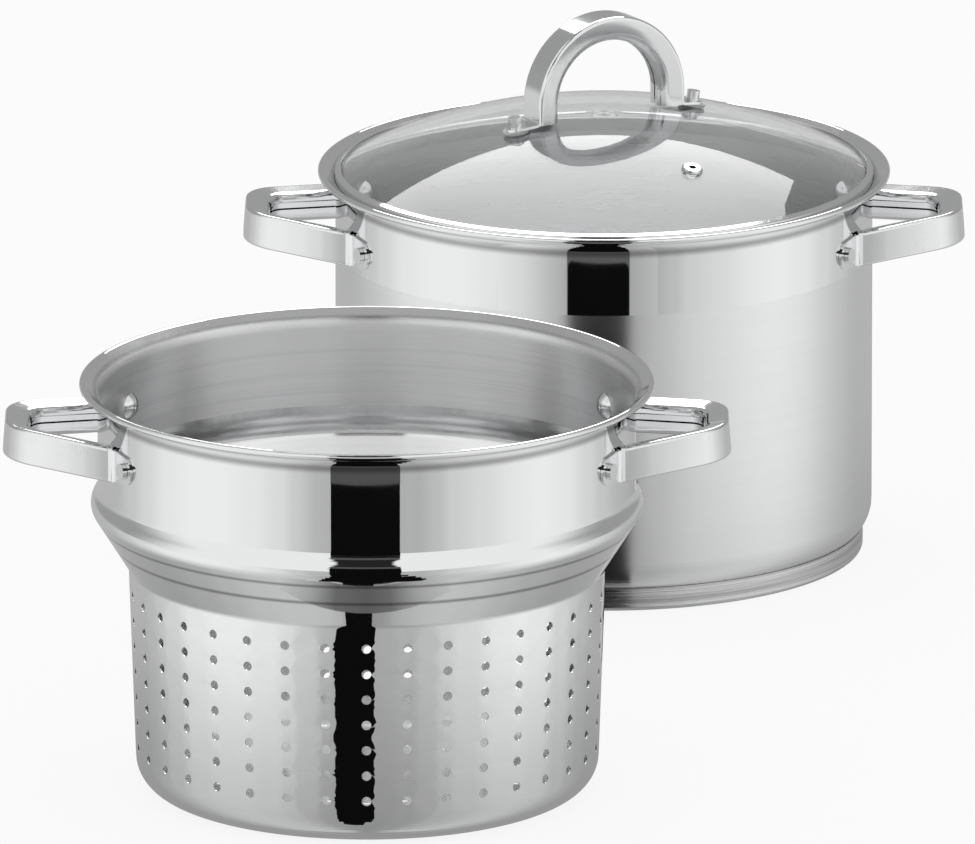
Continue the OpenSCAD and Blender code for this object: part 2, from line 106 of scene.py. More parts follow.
class Tree:
    """Adds nodes to one node tree and links them."""

    def __init__(self, node_tree):
        self.nodes, self.links = node_tree.nodes, node_tree.links

    def put(self, socket, value):
        """Links an output to a socket, or sets the socket's plain value."""
        if isinstance(value, bpy.types.NodeSocket):
            self.links.new(value, socket)
        else:
            socket.default_value = value

    def fill(self, node, values):
        for name, value in values.items():
            self.put(node.inputs[name.replace("_", " ")], value)
        return node

    def add(self, kind, out=0, **values):
        return self.fill(self.nodes.new(kind), values).outputs[out]

    def group(self, group, out, **values):
        node = self.nodes.new("ShaderNodeGroup")
        node.node_tree = group
        return self.fill(node, values).outputs[out]

    def math(self, operation, *values):
        node = self.nodes.new("ShaderNodeMath")
        node.operation = operation
        for socket, value in zip(node.inputs, values):
            self.put(socket, value)
        return node.outputs[0]

    def mix(self, factor, a, b):
        """A mix of two colours. The Mix node keeps its colours in sockets 6 and 7."""
        node = self.nodes.new("ShaderNodeMix")
        node.data_type = "RGBA"
        for socket, value in zip((node.inputs[0], node.inputs[6], node.inputs[7]), (factor, a, b)):
            self.put(socket, value)
        return node.outputs[2]

    def step(self, value, low, high, to_low=0.0, to_high=1.0):
        """A smooth step of value, from to_low at low to to_high at high."""
        node = self.nodes.new("ShaderNodeMapRange")
        node.interpolation_type = "SMOOTHSTEP"
        for socket, v in zip(node.inputs, (value, low, high, to_low, to_high)):
            self.put(socket, v)
        return node.outputs[0]

    def split(self, vector):
        node = self.nodes.new("ShaderNodeSeparateXYZ")
        self.put(node.inputs[0], vector)
        return tuple(node.outputs)

    def object_place(self):
        return self.add("ShaderNodeTexCoord", "Object")

    def object_xyz(self):
        return self.split(self.object_place())


def new_group(name, inputs, outputs):
    """An empty shader node group of float sockets. inputs is {name: first value}."""
    group = bpy.data.node_groups.new(name, "ShaderNodeTree")
    for socket, value in inputs.items():
        made = group.interface.new_socket(socket, in_out="INPUT", socket_type="NodeSocketFloat")
        made.default_value = value
    for socket in outputs:
        group.interface.new_socket(socket, in_out="OUTPUT", socket_type="NodeSocketFloat")
    tree = Tree(group)
    tree.given = group.nodes.new("NodeGroupInput").outputs
    tree.result = group.nodes.new("NodeGroupOutput").inputs
    print("group", name, "takes", ", ".join(inputs), "and gives", ", ".join(outputs))
    return group, tree


print("tree wrapper ready")

# %% [markdown]
# ## Distance from an axis
# Everything on a turned vessel depends on the distance from its axis. The CAD meshes keep their
# place in their vertices, so object coordinates are places in the room, and the axis is taken
# off them inside each group.

# %% Place round an axis


def hypot(tree, x, y):
    return tree.math("SQRT", tree.math("ADD", tree.math("MULTIPLY", x, x),
                                       tree.math("MULTIPLY", y, y)))


def round_axis(tree):
    """x, y and z from the group's own axis, and the distance from it."""
    x, y, z = tree.object_xyz()
    x = tree.math("SUBTRACT", x, tree.given["Axis X"])
    y = tree.math("SUBTRACT", y, tree.given["Axis Y"])
    return x, y, z, hypot(tree, x, y)


AXIS = {"Axis X": 0.0, "Axis Y": 0.0}
pot_place = {"Axis_X": pot_axis.x, "Axis_Y": pot_axis.y}
insert_place = {"Axis_X": insert_axis.x, "Axis_Y": insert_axis.y}
print("pot axis", pot_place, "insert axis", insert_place)

# %% [markdown]
# ## Turned marks
# A pot is finished while it spins, so its marks run round it: level lines on the wall, rings on
# the bottom. Distance from the axis plus height is one number that changes across those lines on
# both, so noise stretched along it draws them. The height is the fine line itself, and the shade
# is a broader change of tone over many lines. One group serves the satin wall, the brushed
# inside and the base band, each with its own axis and line width.

# %% Group: turned marks
MARK_NOISE = {"Height": (9.0, 1.0), "Shade": (4.0, 0.09)}


def make_turned_marks():
    """MARK_NOISE says how fast each output changes along a line and across the lines."""
    group, tree = new_group("turned_marks", {**AXIS, "Line Width": 0.4 * MM}, ("Height", "Shade"))
    x, y, z, away = round_axis(tree)
    lines = tree.math("DIVIDE", tree.math("ADD", z, away), tree.given["Line Width"])
    for out, (along, across) in MARK_NOISE.items():
        place = tree.add("ShaderNodeCombineXYZ", X=tree.math("MULTIPLY", x, along),
                         Y=tree.math("MULTIPLY", y, along),
                         Z=tree.math("MULTIPLY", lines, across))
        tree.put(tree.result[out], tree.add("ShaderNodeTexNoise", "Fac", Vector=place, Scale=1.0,
                                            Detail=4.0, Roughness=0.7))
    return group


turned_marks = make_turned_marks()

# %% [markdown]
# ## Inner and outer face
# One sheet has two finishes: polished outside and brushed inside. The normal tells them apart.
# Inside it points to the axis on the wall, and up on the bottom. The mask is a group because
# the pot and the insert both need it.

# %% Group: inner face
WALL_TURN = (-0.45, -0.9)
BOTTOM_TURN = (0.3, 0.7)


def make_inner_face():
    """The turns say where the mask fades in, by how far the normal points outward or up."""
    group, tree = new_group("inner_face", {**AXIS, "Floor Top": 10 * MM}, ("Mask",))
    x, y, z, away = round_axis(tree)
    nx, ny, nz = tree.split(tree.add("ShaderNodeNewGeometry", "Normal"))
    outward = tree.math("DIVIDE", tree.math("ADD", tree.math("MULTIPLY", x, nx),
                                            tree.math("MULTIPLY", y, ny)),
                        tree.math("MAXIMUM", away, MM))
    wall = tree.step(outward, *WALL_TURN)
    low = tree.math("LESS_THAN", z, tree.given["Floor Top"])
    bottom = tree.math("MULTIPLY", tree.step(nz, *BOTTOM_TURN), low)
    tree.put(tree.result["Mask"], tree.math("MAXIMUM", wall, bottom))
    return group


inner_face = make_inner_face()

# %% [markdown]
# ## Sheet waves
# Pressed sheet is never quite true. A slow and very shallow wave bends what it mirrors, which
# tells a real polished pot from a perfect cylinder. It is only bump, because the real wave is
# thinner than a hair.

# %% Group: sheet waves


def make_sheet_waves():
    group, tree = new_group("sheet_waves", {"Wave Length": 40 * MM}, ("Height",))
    place = tree.object_place()
    per_metre = tree.math("DIVIDE", 1.0, tree.given["Wave Length"])
    tree.put(tree.result["Height"], tree.add("ShaderNodeTexNoise", "Fac", Vector=place,
                                             Scale=per_metre, Detail=1.0))
    return group


sheet_waves = make_sheet_waves()

# %% [markdown]
# ## Wear from handling
# Polished steel gathers a light haze and a few hair-thin scratches. Both raise the roughness in
# places. The haze is cloudy noise, and the scratches are the thin contour lines of a stretched
# one.

# %% Group: handling
NOISE_MIDDLE = 0.5
CLOUD_SCALE = 22.0
CLOUD_SPAN = (0.42, 0.75)
PATCH_SCALE = 60.0
PATCH_SPAN = (0.5, 0.65)
SCRATCH_TURN = (0.5, 0.9, 0.3)
SCRATCH_STRETCH = (700.0, 60.0, 200.0)
SCRATCH_WIDTH = 0.015


def make_handling():
    group, tree = new_group("handling", {"Haze": 0.03, "Scratches": 0.1}, ("Roughness",))
    place = tree.object_place()
    cloud = tree.add("ShaderNodeTexNoise", "Fac", Vector=place, Scale=CLOUD_SCALE, Detail=4.0)
    haze = tree.math("MULTIPLY", tree.step(cloud, *CLOUD_SPAN), tree.given["Haze"])
    stretched = tree.add("ShaderNodeMapping", Vector=place, Rotation=SCRATCH_TURN,
                         Scale=SCRATCH_STRETCH)
    field = tree.add("ShaderNodeTexNoise", "Fac", Vector=stretched, Scale=1.0, Detail=2.0)
    off = tree.math("ABSOLUTE", tree.math("SUBTRACT", field, NOISE_MIDDLE))
    line = tree.step(off, SCRATCH_WIDTH, 0.0)
    patches = tree.add("ShaderNodeTexNoise", "Fac", Vector=place, Scale=PATCH_SCALE)
    kept = tree.math("MULTIPLY", line, tree.step(patches, *PATCH_SPAN))
    scratch = tree.math("MULTIPLY", kept, tree.given["Scratches"])
    tree.put(tree.result["Roughness"], tree.math("ADD", haze, scratch))
    return group


handling = make_handling()

# %% [markdown]
# ## Bow of the handles
# The arms of a pressed handle are bowed a little, so the room slides along them from grey at the
# wall to white at the bend. The height of a shallow arc over the distance from the vessel gives
# that shading. It swells the outer face and hollows the inner one, so the side that a face looks
# to sets its sign, and level faces stay flat.

# %% Group: bow


def make_bow():
    group, tree = new_group("bow", {**AXIS, "Wall": 0.12, "Reach": 0.041, "Slope": 0.4},
                            ("Height",))
    x, y = round_axis(tree)[:2]
    ny = tree.split(tree.add("ShaderNodeNewGeometry", "Normal"))[1]
    out = tree.math("SUBTRACT", tree.math("ABSOLUTE", x), tree.given["Wall"])
    along = tree.math("MINIMUM", tree.math("MAXIMUM", out, 0.0), tree.given["Reach"])
    rest = tree.math("SUBTRACT", 1.0, tree.math("DIVIDE", along, tree.given["Reach"]))
    arc = tree.math("MULTIPLY", tree.math("MULTIPLY", along, rest), tree.given["Slope"])
    faces = tree.math("MULTIPLY", ny, tree.math("SIGN", y))
    tree.put(tree.result["Height"], tree.math("MULTIPLY", arc, faces))
    return group


bow = make_bow()

# %% [markdown]
# ## Punch dimples
# A punch draws the sheet down a little round each hole, and the polish shows it: a dark
# reflection that runs past a row of holes gets a bite at each of them. The distance to the
# nearest hole follows from the angle round the axis and the height, so no list of holes is
# needed.

# %% Group: punch dimples
DIMPLE_SPAN = (0.7, 2.6)


def make_punch_dimples():
    """DIMPLE_SPAN is where a dimple is deepest and where it ends, in hole radii."""
    group, tree = new_group("punch_dimples", {
        **AXIS, "Columns": HOLE_COLUMNS, "First Row": HOLE_FIRST_ROW,
        "Row Pitch": HOLE_ROW_PITCH, "Hole Radius": HOLE_RADIUS, "Rows": HOLE_ROWS}, ("Height",))
    x, y, z, away = round_axis(tree)
    turns = tree.math("DIVIDE", tree.math("ARCTAN2", y, x), 2 * math.pi)
    column = tree.math("MULTIPLY", turns, tree.given["Columns"])
    aside = tree.math("DIVIDE", tree.math("SUBTRACT", column, tree.math("ROUND", column)),
                      tree.given["Columns"])
    aside = tree.math("MULTIPLY", aside, tree.math("MULTIPLY", away, 2 * math.pi))
    row = tree.math("DIVIDE", tree.math("SUBTRACT", z, tree.given["First Row"]),
                    tree.given["Row Pitch"])
    top_row = tree.math("SUBTRACT", tree.given["Rows"], 1.0)
    nearest = tree.math("MINIMUM", tree.math("MAXIMUM", tree.math("ROUND", row), 0.0), top_row)
    up = tree.math("MULTIPLY", tree.math("SUBTRACT", row, nearest), tree.given["Row Pitch"])
    reach = tree.math("DIVIDE", hypot(tree, aside, up), tree.given["Hole Radius"])
    tree.put(tree.result["Height"], tree.step(reach, *DIMPLE_SPAN))
    return group


punch_dimples = make_punch_dimples()

# %% [markdown]
# ## Painted shade lines in grooves
# Thin level lines of darker steel are painted under a rolled rim and in the folds of the insert.
# They are painted shade that stands for the shadow and dark reflections in these grooves. One
# group draws a soft line at one height, and each material places it where its own grooves are.

# %% Group: painted shade line


def make_painted_shade_line():
    group, tree = new_group("painted_shade_line", {"Height": 0.17, "Reach": 1 * MM, "Depth": 0.8},
                            ("Mask",))
    z = tree.object_xyz()[2]
    off = tree.math("ABSOLUTE", tree.math("SUBTRACT", z, tree.given["Height"]))
    line = tree.step(off, tree.given["Reach"], 0.0)
    tree.put(tree.result["Mask"], tree.math("MULTIPLY", tree.given["Depth"], line))
    return group


painted_shade_line = make_painted_shade_line()

# %% [markdown]
# ## Starting a material
# Each finish ends in one Principled shader. Its plain values are set straight on its sockets,
# and what changes over the surface is linked. Bump nodes are stacked: each takes the normal of
# the one under it. One steel comes in four tones: as polished, in the depth of a brushed line or
# of a worn place, a lighter one inside a vessel that is painted light, and a dark one in a groove
# that is painted shade.

# %% Helpers for materials
STEEL = (0.84, 0.845, 0.85, 1.0)
DEEP_STEEL = (0.68, 0.685, 0.695, 1.0)
# Painted light: the inside takes a lighter steel to make up for the light lost in its deep
# bounces.
PAINTED_LIGHT_INNER_STEEL = (0.88, 0.883, 0.887, 1.0)
# Painted shade: the dark steel of the lines painted into grooves and folds.
PAINTED_SHADE_STEEL = (0.20, 0.20, 0.205, 1.0)


def start_material(name, **values):
    material = bpy.data.materials.new(name)
    material.use_nodes = True
    tree = Tree(material.node_tree)
    tree.finish = tree.fill(tree.nodes["Principled BSDF"], values).inputs
    return material, tree


def bump(tree, height, distance, under=None):
    """One layer of bump of that depth, over the layer under it."""
    values = {"Height": height, "Distance": distance}
    if under is not None:
        values["Normal"] = under
    return tree.add("ShaderNodeBump", "Normal", **values)


def round_tangent(tree):
    """The direction that runs round the upright axis of the node's own box."""
    node = tree.nodes.new("ShaderNodeTangent")
    node.direction_type = "RADIAL"
    node.axis = "Z"
    return node.outputs[0]


def wear(material, *nodes):
    """Gives CAD nodes their finish."""
    for node in nodes:
        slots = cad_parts[node].data.materials
        slots.clear()
        slots.append(material)
    print(material.name, "on", ", ".join(nodes))


print("material helpers ready")

# %% [markdown]
# ## Placing the painted shade lines
# Both vessels get painted shade in two grooves under the rolled rim: one under its bead, and one
# where its flare leaves the wall. The insert gets two painted shade lines more, above and on its
# shoulder. They are listed as drops from the vessel's top, and drawn on the outside only.

# %% Helper: painted shade lines outside
RIM_GROOVE_SHADES = ((3.7 * MM, 1.5 * MM, 0.7), (8.5 * MM, 3.0 * MM, 0.7))
FOLD_SHADE_LINES = ((61.8 * MM, 1.3 * MM, 0.7), (71.0 * MM, 1.5 * MM, 0.75))


def with_painted_shade_lines(tree, colour, inside, top, grooves):
    """The colour with painted shade lines outside. Each groove is its drop, its reach and its
    depth.
    """
    outside = tree.math("SUBTRACT", 1.0, inside)
    for drop, reach, depth in grooves:
        line = tree.group(painted_shade_line, "Mask", Height=top - drop, Reach=reach, Depth=depth)
        colour = tree.mix(tree.math("MULTIPLY", line, outside), colour, PAINTED_SHADE_STEEL)
    return colour


print(len(RIM_GROOVE_SHADES), "rim grooves and", len(FOLD_SHADE_LINES), "fold lines")

# %% [markdown]
# ## Pot wall
# The pot is mirror polished in a band under its lip, satin below it, and brushed inside. Two
# masks share one shader: the inner face, and the height of the band's lower edge. The satin is
# rougher and carries fine level lines. The tangent runs round the axis, so that the brushed
# lines spread each reflection upright, as real turned steel does.

# %% Material: pot wall
POLISHED = 0.03
SATIN = 0.25
BRUSHED_POT = 0.28
BAND_EDGE = 0.3 * MM
SATIN_LINES = 0.5
POT_LINE_WIDTH = 0.35 * MM
POT_LINE_DEPTH = 0.012 * MM
POT_STREAK_ROUGH = 0.12
POT_STREAK_TONE = 0.7
WAVE_DEPTH = 0.02 * MM


def make_pot_steel():
    material, tree = start_material("pot_steel", Metallic=1.0, Anisotropic=0.8,
                                    Anisotropic_Rotation=0.25)
    tree.put(tree.finish["Tangent"], round_tangent(tree))
    inside = tree.group(inner_face, "Mask", Floor_Top=20 * MM, **pot_place)
    marks = tree.group(turned_marks, "Height", Line_Width=POT_LINE_WIDTH, **pot_place)
    shade = tree.group(turned_marks, "Shade", Line_Width=POT_LINE_WIDTH, **pot_place)
    edge = pot_top - MIRROR_BAND
    satin = tree.step(tree.object_xyz()[2], edge + BAND_EDGE, edge - BAND_EDGE)
    marked = tree.math("MAXIMUM", tree.math("MULTIPLY", satin, SATIN_LINES), inside)
    streak = tree.math("MULTIPLY", tree.math("SUBTRACT", shade, NOISE_MIDDLE), marked)
    rough = tree.math("MULTIPLY_ADD", satin, SATIN, POLISHED)
    rough = tree.math("MAXIMUM", rough, tree.math("MULTIPLY", inside, BRUSHED_POT))
    rough = tree.math("ADD", rough, tree.group(handling, "Roughness", Haze=0.02, Scratches=0.04))
    tree.put(tree.finish["Roughness"],
             tree.math("MULTIPLY_ADD", streak, POT_STREAK_ROUGH, rough))
    # Painted light: the inside takes a lighter steel, standing for light that its deep bounces
    # lose.
    steel = tree.mix(inside, STEEL, PAINTED_LIGHT_INNER_STEEL)
    steel = tree.mix(tree.math("MULTIPLY", streak, POT_STREAK_TONE), steel, DEEP_STEEL)
    # Painted shade: dark lines in the grooves under the rim.
    tree.put(tree.finish["Base Color"], with_painted_shade_lines(tree, steel, inside, pot_top, RIM_GROOVE_SHADES))
    waves = bump(tree, tree.group(sheet_waves, "Height", Wave_Length=45 * MM), WAVE_DEPTH)
    lines = tree.math("MULTIPLY", marks, marked)
    tree.put(tree.finish["Normal"], bump(tree, lines, POT_LINE_DEPTH, waves))
    return material


wear(make_pot_steel(), "pot_body")

# %% [markdown]
# ## Insert wall
# The insert is polished all over outside, holes and all. Inside, only the collar is brushed,
# and the sheet below its fold is as bright as outside. The bump has the dimples of the punched
# holes as well as the sheet's own waves.

# %% Material: insert wall
BRUSHED_COLLAR = 0.18
INNER_HAZE = 0.12
FOLD_EDGE = 0.5 * MM
DIMPLE_DEPTH = 0.05 * MM
INSERT_LINE_DEPTH = 0.03 * MM
INSERT_STREAK_ROUGH = 0.15
INSERT_STREAK_TONE = 2.4


def make_insert_steel():
    material, tree = start_material("insert_steel", Metallic=1.0, Anisotropic=1.0,
                                    Anisotropic_Rotation=0.25)
    tree.put(tree.finish["Tangent"], round_tangent(tree))
    inside = tree.group(inner_face, "Mask", Floor_Top=14 * MM, **insert_place)
    fold = insert_top - COLLAR_HEIGHT
    above = tree.step(tree.object_xyz()[2], fold - FOLD_EDGE, fold + FOLD_EDGE)
    brushed = tree.math("MULTIPLY", inside, above)
    marks = tree.group(turned_marks, "Height", Line_Width=0.45 * MM, **insert_place)
    shade = tree.group(turned_marks, "Shade", Line_Width=0.15 * MM, **insert_place)
    streak = tree.math("MULTIPLY", tree.math("SUBTRACT", shade, NOISE_MIDDLE), brushed)
    rough = tree.math("MULTIPLY_ADD", brushed, BRUSHED_COLLAR, POLISHED)
    rough = tree.math("MULTIPLY_ADD", inside, INNER_HAZE, rough)
    rough = tree.math("ADD", rough, tree.group(handling, "Roughness", Haze=0.02, Scratches=0.05))
    tree.put(tree.finish["Roughness"],
             tree.math("MULTIPLY_ADD", streak, INSERT_STREAK_ROUGH, rough))
    # Painted light: the inside takes a lighter steel, standing for light that its deep bounces
    # lose.
    steel = tree.mix(inside, STEEL, PAINTED_LIGHT_INNER_STEEL)
    steel = tree.mix(tree.math("MULTIPLY", streak, INSERT_STREAK_TONE), steel, DEEP_STEEL)
    # Painted shade: dark lines in the grooves under the rim and in the folds of the shoulder.
    tree.put(tree.finish["Base Color"],
             with_painted_shade_lines(tree, steel, inside, insert_top, RIM_GROOVE_SHADES + FOLD_SHADE_LINES))
    waves = bump(tree, tree.group(sheet_waves, "Height", Wave_Length=40 * MM), WAVE_DEPTH)
    dimples = tree.group(punch_dimples, "Height", **insert_place)
    dished = bump(tree, dimples, DIMPLE_DEPTH, waves)
    lines = tree.math("MULTIPLY", marks, brushed)
    tree.put(tree.finish["Normal"], bump(tree, lines, INSERT_LINE_DEPTH, dished))
    return material


wear(make_insert_steel(), "insert_body")

# %% [markdown]
# ## Polished fittings
# Handles, rivets, the lid's rim and its small fittings are pressed or turned and then polished
# by hand. They are a touch softer than a mirror, with a haze and fine scratches. One function
# makes all these finishes, which differ in roughness, haze and the size of the waves. Only the
# four side handles are bowed, and each pair takes the bow from its own vessel's axis.

# %% Materials: polished fittings
WORN_SPAN = (0.0, 0.2)
FITTING_WAVE_DEPTH = 0.03 * MM


def make_fitting_steel(name, rough, wave, haze, bowed=None):
    material, tree = start_material(name, Metallic=1.0)
    worn = tree.group(handling, "Roughness", Haze=haze, Scratches=0.12)
    tree.put(tree.finish["Roughness"], tree.math("ADD", worn, rough))
    tree.put(tree.finish["Base Color"],
             tree.mix(tree.step(worn, *WORN_SPAN), STEEL, DEEP_STEEL))
    waves = tree.group(sheet_waves, "Height", Wave_Length=wave)
    normal = bump(tree, waves, FITTING_WAVE_DEPTH)
    if bowed:
        normal = bump(tree, tree.group(bow, "Height", **bowed), 1.0, normal)
    tree.put(tree.finish["Normal"], normal)
    return material


def handle_place(handle, place):
    """Where the arms of a side handle start, past the flanges, and how far they reach."""
    low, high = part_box(handle)
    start = low.x - place["Axis_X"] + FLANGE_LENGTH
    return {**place, "Wall": start, "Reach": high.x - low.x - FLANGE_LENGTH}


STRAP = {"rough": 0.07, "wave": 16 * MM, "haze": 0.05}
for vessel, place in (("pot", pot_place), ("insert", insert_place)):
    bowed = handle_place(vessel + "_handle_right", place)
    wear(make_fitting_steel(vessel + "_handle_steel", bowed=bowed, **STRAP),
         vessel + "_handle_left", vessel + "_handle_right")
wear(make_fitting_steel("lid_handle_steel", **STRAP), "lid_handle")
wear(make_fitting_steel("rim_steel", rough=0.05, wave=30 * MM, haze=0.03), "lid_rim")
wear(make_fitting_steel("rivet_steel", rough=0.10, wave=6 * MM, haze=0.08),
     "pot_rivets_left", "pot_rivets_right", "insert_rivets_left", "insert_rivets_right",
     "lid_pins", "lid_washers", "lid_vent")

# %% [markdown]
# ## Clamped base
# The base shows as a satin band with turned lines wide enough to see. Its shade changes from
# line to line. The aluminium core is closed in by the band, and keeps its plain cast grain.

# %% Materials: base
NOISE_SPAN = (0.3, 0.7)
BASE_TONE_SPAN = (0.35, 0.65)
BASE_LINE_STEEL = (0.5, 0.5, 0.51, 1)
BASE_ROUGH = (0.2, 0.34)
BASE_LINE_DEPTH = 0.3 * MM
CAST_LIGHT = (0.78, 0.78, 0.79, 1)
CAST_DARK = (0.68, 0.68, 0.70, 1)
CAST_ROUGH = (0.4, 0.6)
CAST_GRAIN_DEPTH = 0.05 * MM


def make_base_steel():
    material, tree = start_material("base_steel", Metallic=1.0)
    marks = tree.group(turned_marks, "Height", Line_Width=1.1 * MM, **pot_place)
    shade = tree.group(turned_marks, "Shade", Line_Width=0.12 * MM, **pot_place)
    tree.put(tree.finish["Roughness"], tree.step(shade, *NOISE_SPAN, *BASE_ROUGH))
    tree.put(tree.finish["Base Color"],
             tree.mix(tree.step(shade, *BASE_TONE_SPAN), STEEL, BASE_LINE_STEEL))
    tree.put(tree.finish["Normal"], bump(tree, marks, BASE_LINE_DEPTH))
    return material


def make_aluminium():
    material, tree = start_material("aluminium", Metallic=1.0)
    grain = tree.add("ShaderNodeTexNoise", "Fac", Scale=900.0, Detail=3.0)
    tree.put(tree.finish["Roughness"], tree.step(grain, *NOISE_SPAN, *CAST_ROUGH))
    tree.put(tree.finish["Base Color"], tree.mix(grain, CAST_LIGHT, CAST_DARK))
    tree.put(tree.finish["Normal"], bump(tree, grain, CAST_GRAIN_DEPTH))
    return material


wear(make_base_steel(), "pot_base_cap")
wear(make_aluminium(), "pot_base_core")

# %% [markdown]
# ## Glass and seals
# The lid's glass is clear with the faintest grey, and its roughness is nothing but a trace of
# haze. The gaskets are grey silicone, matt with a slight grain.

# %% Materials: glass and silicone
GLASS_CLEAR = (0.95, 0.96, 0.96, 1)
GLASS_GREY = (0.92, 0.935, 0.935, 1)
HAZE_SPAN = (0.4, 0.8)
GLASS_ROUGH = (0.0, 0.03)
GLASS_WAVE_DEPTH = 0.03 * MM
SILICONE_LIGHT = (0.52, 0.52, 0.53, 1)
SILICONE_DARK = (0.40, 0.40, 0.41, 1)
SILICONE_ROUGH = (0.45, 0.6)
SILICONE_GRAIN_DEPTH = 0.02 * MM


def make_glass():
    material, tree = start_material("clear_glass", Transmission_Weight=1.0, IOR=1.5)
    cloud = tree.add("ShaderNodeTexNoise", "Fac", Vector=tree.object_place(), Scale=14.0,
                     Detail=3.0)
    tree.put(tree.finish["Roughness"], tree.step(cloud, *HAZE_SPAN, *GLASS_ROUGH))
    tree.put(tree.finish["Base Color"], tree.mix(cloud, GLASS_CLEAR, GLASS_GREY))
    waves = tree.group(sheet_waves, "Height", Wave_Length=60 * MM)
    tree.put(tree.finish["Normal"], bump(tree, waves, GLASS_WAVE_DEPTH))
    return material


def make_silicone():
    material, tree = start_material("silicone", Specular_IOR_Level=0.4)
    grain = tree.add("ShaderNodeTexNoise", "Fac", Scale=1500.0, Detail=2.0)
    tree.put(tree.finish["Roughness"], tree.step(grain, *NOISE_SPAN, *SILICONE_ROUGH))
    tree.put(tree.finish["Base Color"], tree.mix(grain, SILICONE_LIGHT, SILICONE_DARK))
    tree.put(tree.finish["Normal"], bump(tree, grain, SILICONE_GRAIN_DEPTH))
    return material


wear(make_glass(), "lid_glass")
wear(make_silicone(), "lid_gaskets_upper", "lid_gaskets_lower")

# %% [markdown]
# ## Helpers for the studio
# World, floor and cards are lit by plain greys and end in one shader each. These helpers give a
# grey from its level, clear a tree, lay greys on a ramp, and close the tree.

# %% Helpers for the studio
WHITE = 1.0


def grey(level):
    return (level, level, level, 1)


def bare_tree(owner):
    """Switches on the nodes of a world or a material, and empties them."""
    owner.use_nodes = True
    owner.node_tree.nodes.clear()
    return Tree(owner.node_tree)


def close_tree(tree, kind, shader):
    tree.put(tree.nodes.new(kind).inputs["Surface"], shader)


def grey_ramp(tree, factor, stops, interpolation="LINEAR"):
    """Greys along factor. stops holds (place, grey), from place 0 to place 1."""
    ramp = tree.nodes.new("ShaderNodeValToRGB")
    ramp.color_ramp.interpolation = interpolation
    tree.put(ramp.inputs[0], factor)
    elements = ramp.color_ramp.elements
    elements[0].color, elements[-1].color = grey(stops[0][1]), grey(stops[-1][1])
    for place, level in stops[1:-1]:
        elements.new(place).color = grey(level)
    return ramp.outputs[0]


print("studio helpers ready")

# %% [markdown]
# ## Walls of the room
# Polished steel has hardly any look of its own: it shows the room. The room here is a world of
# soft greys that depends on direction only. Its walls are brightest to both sides, a little less
# so on the right, and darker behind the vessels and towards the front. A ramp from straight
# behind (0) to straight in front (1) holds those greys.

# %% Walls of the room
WALL_LEVELS = ((0.0, 0.50), (0.117, 0.52), (0.25, 0.65), (0.329, 0.765), (0.456, 0.92),
               (0.587, 0.98), (0.711, 0.98), (0.821, 0.92), (0.899, 0.82), (0.933, 0.68),
               (0.970, 0.53), (1.0, 0.45))
RIGHT_DIP = 0.14
DIP_START = (math.radians(12), math.radians(30))
DIP_END = (math.radians(85), math.radians(45))


def room_walls(tree, back, side):
    """back is 1 straight behind and -1 in front. side is the angle from the front to the right."""
    walls = grey_ramp(tree, tree.math("MULTIPLY_ADD", back, -0.5, 0.5), WALL_LEVELS, "EASE")
    dip = tree.math("MULTIPLY", tree.step(side, *DIP_START),
                    tree.step(side, *DIP_END, 0.0, RIGHT_DIP))
    return tree.mix(dip, walls, grey(0.0))


print(len(WALL_LEVELS), "greys round the room")

# %% [markdown]
# ## World
# A bright band lies on the front horizon under a grey ceiling, and rolled rims squeeze both into
# the light and dark lines that such rims show. A dark upright block in front is the stand of the
# camera. Camera rays and rays through glass see plain white instead, and diffuse rays see one
# level grey, so the floor and the silicone are lit evenly.

# %% World
TINY = 0.001
BAND_LEVEL = 0.95
BACK_LEVEL = 0.36
CEILING_LEVEL = 0.42
STAND_LEVEL = 0.02
LIGHT_LEVEL = 0.85
BAND_BACK = (-0.2, 0.5)
BAND_RISE = (math.radians(-5), math.radians(2))
CEILING_RISE = (math.radians(50), math.radians(75))
STAND_SIDES = (math.radians(-16), math.radians(14))
STAND_HEIGHTS = (math.radians(16), math.radians(80))
SHARP_EDGE = math.radians(1.5)
SOFT_EDGE = math.radians(9)


def inside_span(tree, value, low, high, low_edge, high_edge):
    return tree.math("MULTIPLY", tree.step(value, low - low_edge, low + low_edge),
                     tree.step(value, high + high_edge, high - high_edge))


def make_world():
    world = bpy.data.worlds.new("studio")
    bpy.context.scene.world = world
    tree = bare_tree(world)
    x, y, z = tree.split(tree.add("ShaderNodeTexCoord", "Generated"))
    level = hypot(tree, x, y)
    back = tree.math("DIVIDE", y, tree.math("MAXIMUM", level, TINY))
    side = tree.math("ARCTAN2", x, tree.math("MULTIPLY", y, -1.0))
    rise = tree.math("ARCTAN2", z, level)
    band = tree.mix(tree.step(back, *BAND_BACK), grey(BAND_LEVEL), grey(BACK_LEVEL))
    room = tree.mix(tree.step(rise, *BAND_RISE), room_walls(tree, back, side), band)
    room = tree.mix(tree.step(rise, *CEILING_RISE), room, grey(CEILING_LEVEL))
    wide = inside_span(tree, side, *STAND_SIDES, SHARP_EDGE, SHARP_EDGE)
    tall = inside_span(tree, rise, *STAND_HEIGHTS, SHARP_EDGE, SOFT_EDGE)
    room = tree.mix(tree.math("MULTIPLY", wide, tall), room, grey(STAND_LEVEL))
    rays = tree.nodes.new("ShaderNodeLightPath").outputs
    lit = tree.mix(rays["Is Diffuse Ray"], room, grey(LIGHT_LEVEL))
    plain = tree.math("MAXIMUM", rays["Is Camera Ray"], rays["Is Transmission Ray"])
    close_tree(tree, "ShaderNodeOutputWorld",
               tree.add("ShaderNodeBackground", Color=tree.mix(plain, lit, grey(WHITE))))
    return world


print("world", make_world().name)

